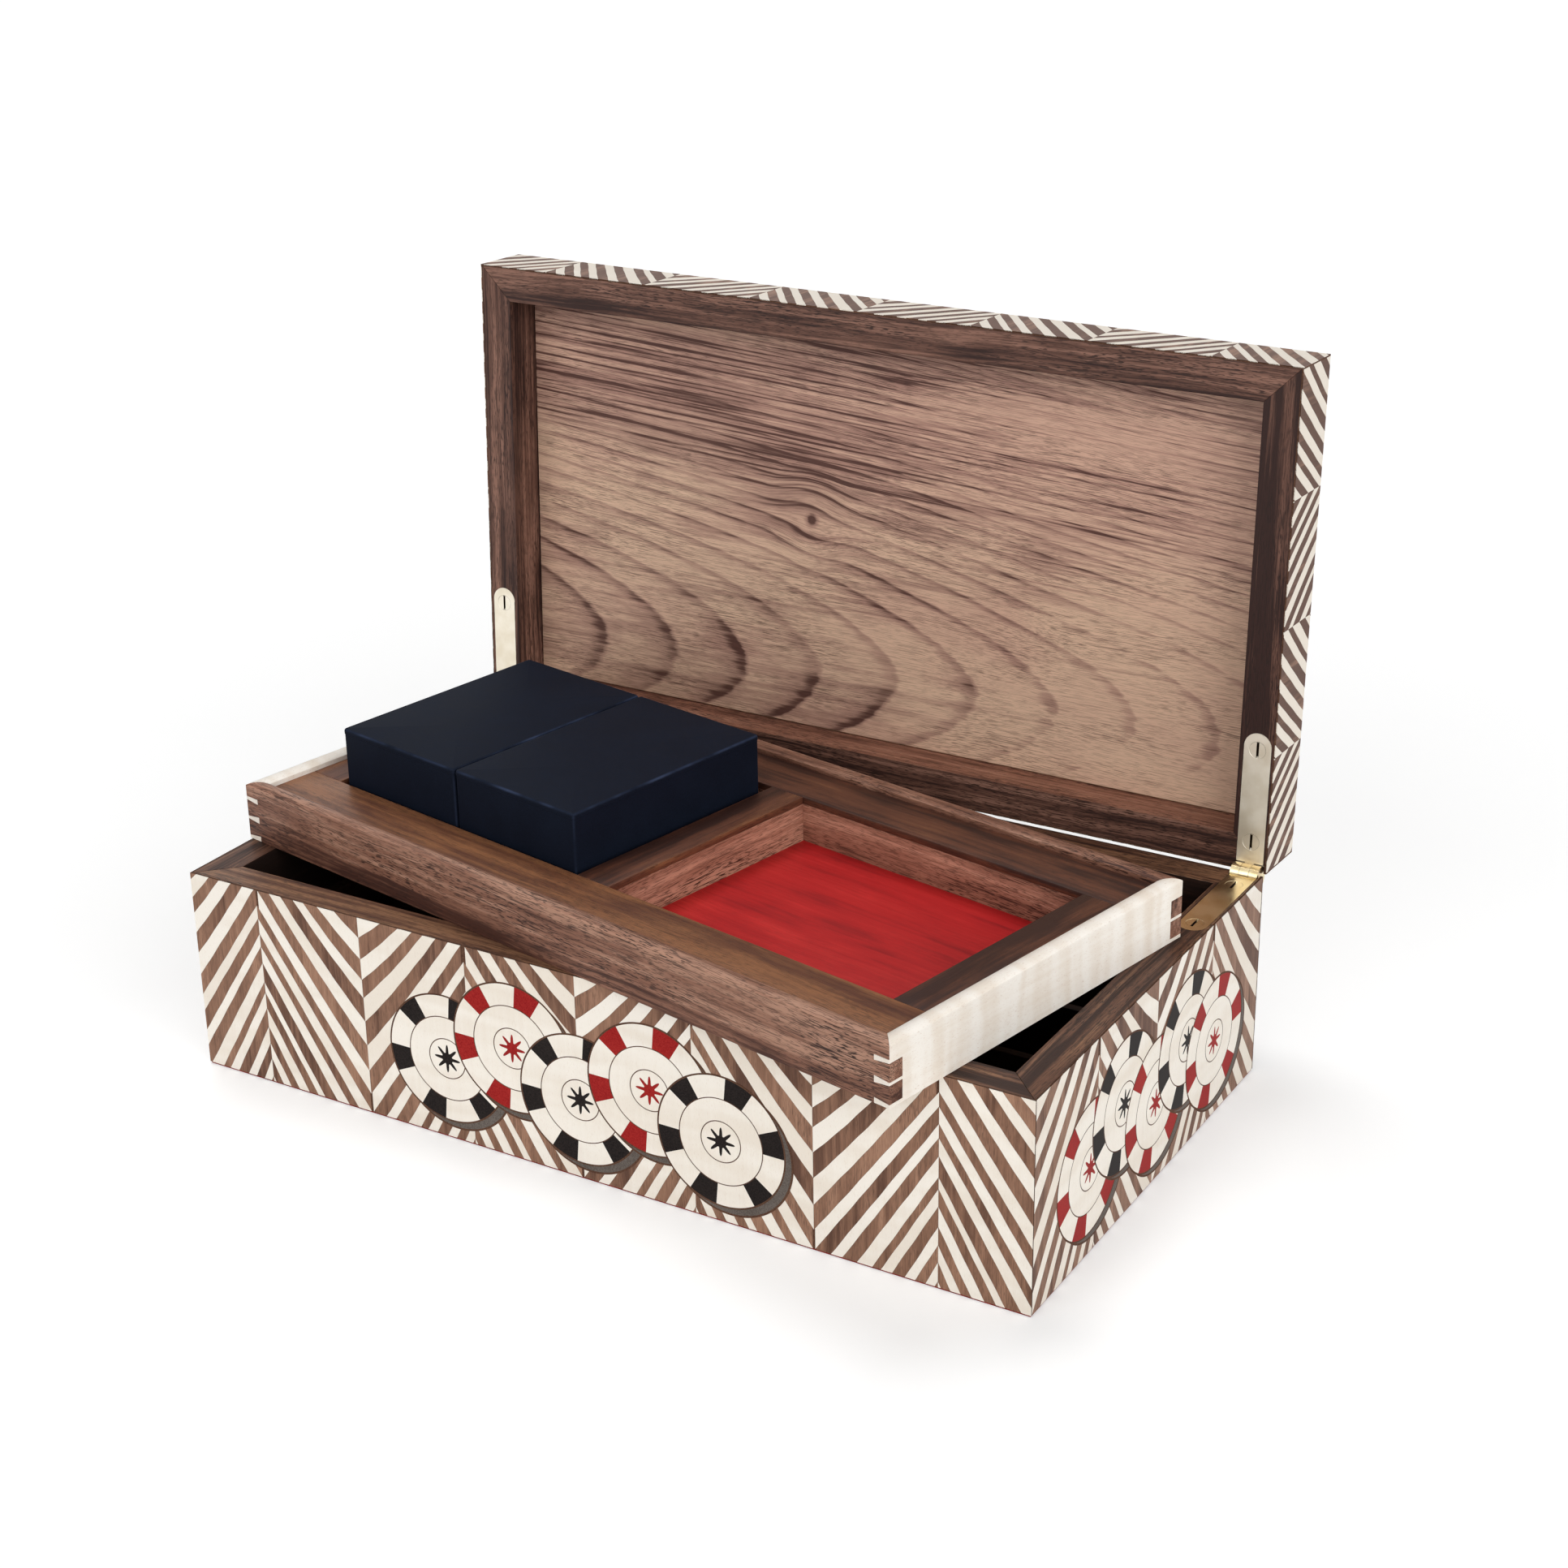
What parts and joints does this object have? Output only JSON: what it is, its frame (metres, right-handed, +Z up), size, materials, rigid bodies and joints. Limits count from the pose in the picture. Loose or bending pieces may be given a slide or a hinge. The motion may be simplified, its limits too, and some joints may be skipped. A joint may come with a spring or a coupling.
{
  "type": "poker chip case",
  "caption": "Wooden gaming-chip case with striped marquetry faces, hinged lid on brass side-rail stop hinges, and a dovetailed lift-out tray with card boxes and an open well.",
  "frame": {"origin": "middle of the base's underside", "axes": "+X to the right along the case, +Y to the hinged back, +Z up"},
  "size_m": [0.3811, 0.2747, 0.292],
  "materials": {
    "walnut": "oiled, open grain",
    "marquetry": "satin lacquer over walnut and sycamore stripes",
    "sycamore": "satin",
    "plywood": "plain",
    "figured_walnut": "satin, crown-cut figure",
    "red_stain": "stained, satin",
    "red_baize": "felted",
    "black_baize": "felted",
    "brass": "polished",
    "navy_paper": "paper-covered board, matt",
    "tub_paper": "paper-covered board, matt",
    "cards": "smooth"
  },
  "bodies": {
    "base": {"base_front_board": "walnut", "base_back_board": "walnut", "base_left_board": "walnut", "base_right_board": "walnut", "tray_ledge_left": "walnut", "tray_ledge_right": "walnut", "chip_divider_set": "walnut", "chip_cross_divider": "walnut", "base_front_veneer": "marquetry", "base_back_veneer": "marquetry", "base_left_veneer": "marquetry", "base_right_veneer": "marquetry", "base_bottom": "plywood", "base_underlay": "red_baize", "floor_lining": "black_baize", "hinge_base_leaf_left": "brass", "hinge_base_leaf_right": "brass", "hinge_pin_left": "brass", "hinge_pin_right": "brass", "base_hinge_screws": "brass"},
    "lid": {"lid_front_board": "walnut", "lid_back_board": "walnut", "lid_left_board": "walnut", "lid_right_board": "walnut", "lid_top_veneer": "marquetry", "lid_front_veneer": "marquetry", "lid_back_veneer": "marquetry", "lid_left_veneer": "marquetry", "lid_right_veneer": "marquetry", "lid_core": "plywood", "lid_inner_panel": "figured_walnut", "hinge_lid_leaf_left": "brass", "hinge_lid_leaf_right": "brass", "lid_hinge_screws": "brass"},
    "tray": {"tray_front_board": "walnut", "tray_back_board": "walnut", "tray_front_strip": "walnut", "tray_back_strip": "walnut", "tray_left_strip": "walnut", "tray_middle_strip": "walnut", "tray_right_strip": "walnut", "tray_left_end": "sycamore", "tray_right_end": "sycamore", "tray_bottom": "plywood", "well_front_rail": "figured_walnut", "well_back_rail": "figured_walnut", "well_left_wall": "figured_walnut", "well_right_wall": "figured_walnut", "well_middle_walls": "figured_walnut", "card_well_floor": "red_stain", "open_well_floor": "red_stain"},
    "card_box_left": {"card_box_left_tub": "tub_paper", "card_packs_left": "cards"},
    "card_cover_left": {"card_box_left_cover": "navy_paper"},
    "card_box_right": {"card_box_right_tub": "tub_paper", "card_packs_right": "cards"},
    "card_cover_right": {"card_box_right_cover": "navy_paper"}
  },
  "joints": [
    {"name": "lid_hinge", "type": "hinge", "parent": "base", "child": "lid", "pos_m": [0, 0.1037, 0.0861], "axis": [1, 0, 0], "range_deg": [0, 92.6]},
    {"name": "tray_lift", "type": "slide", "parent": "base", "child": "tray", "axis": [0, -0.9806, 0.1961], "range_m": [0, 0.245]},
    {"name": "card_box_left_lift", "type": "slide", "parent": "tray", "child": "card_box_left", "axis": [0, 0, 1], "range_m": [0, 0.05]},
    {"name": "card_cover_left_lift", "type": "slide", "parent": "card_box_left", "child": "card_cover_left", "axis": [0, 0, 1], "range_m": [0, 0.045]},
    {"name": "card_box_right_lift", "type": "slide", "parent": "tray", "child": "card_box_right", "axis": [0, 0, 1], "range_m": [0, 0.05]},
    {"name": "card_cover_right_lift", "type": "slide", "parent": "card_box_right", "child": "card_cover_right", "axis": [0, 0, 1], "range_m": [0, 0.045]}
  ],
  "couplings": [
    {"joint": "tray_lift", "follows": "lid_hinge", "m_per_rad": 0.15}
  ]
}
